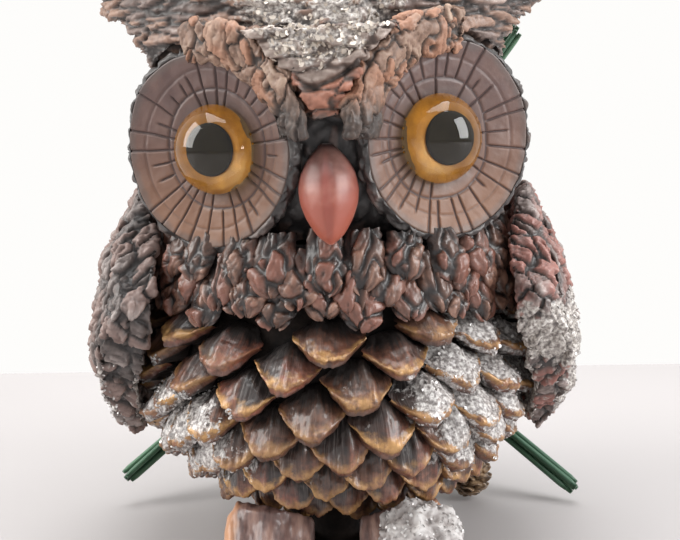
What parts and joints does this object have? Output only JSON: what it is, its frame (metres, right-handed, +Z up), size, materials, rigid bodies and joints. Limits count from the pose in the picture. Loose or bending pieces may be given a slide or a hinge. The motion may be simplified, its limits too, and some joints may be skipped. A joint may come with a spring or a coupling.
{
  "type": "pinecone owl figurine",
  "caption": "Squat pinecone owl with drooping gold-edged scales, bark wings, ruff and ear tufts, engraved eye discs with amber dome eyes, a coral beak, snow crust and a faux pine sprig behind",
  "frame": {"origin": "middle of the flat underside of the base plug, level with both soles", "axes": "+Z up through the head, the owl faces -Y, +X is the side of the small cone (the viewer's right when facing the owl)"},
  "size_m": [0.1017, 0.0895, 0.1149],
  "materials": {
    "bark": "grey-brown painted bark texture",
    "beak": "coral, glossy",
    "core": "dark painted resin",
    "disc": "mauve-brown painted with dark engraved rays",
    "dome": "clear amber dome",
    "foot": "mauve-brown with orange edge",
    "iris": "amber",
    "needle": "faux pine green",
    "pupil": "black",
    "ruff": "red-brown painted bark chips",
    "scale": "red-brown painted resin with gold edges and snow glitter",
    "snow": "white glitter crust",
    "twig": "brown"
  },
  "bodies": {
    "root": {"cone_core": "core", "base_plug": "core", "scale_spiral_1": "scale", "scale_spiral_2": "scale", "scale_spiral_3": "scale", "scale_spiral_4": "scale", "scale_spiral_5": "scale", "scale_spiral_6": "scale", "scale_spiral_7": "scale", "scale_spiral_8": "scale", "neck_collar": "core", "ruff_upper": "ruff", "ruff_middle": "ruff", "ruff_lower": "ruff", "head_core": "core", "nape_bark": "bark", "crown_bark": "bark", "crown_snow": "snow", "ear_tuft_left": "bark", "ear_tuft_right": "bark", "brow_left": "bark", "brow_right": "bark", "brow_centre": "bark", "disc_left": "disc", "disc_right": "disc", "disc_rim_left": "bark", "disc_rim_right": "bark", "iris_left": "iris", "iris_right": "iris", "pupil_left": "pupil", "pupil_right": "pupil", "eye_dome_left": "dome", "eye_dome_right": "dome", "beak": "beak", "wing_left": "bark", "wing_right": "bark", "wing_bark_left": "bark", "wing_bark_right": "bark", "foot_left": "foot", "foot_right": "foot", "foot_snow": "snow", "sprig_stem": "twig", "needles_left": "needle", "needles_right": "needle", "needles_upper": "needle", "mini_cone_stem": "twig", "mini_cone": "twig"}
  },
  "joints": []
}
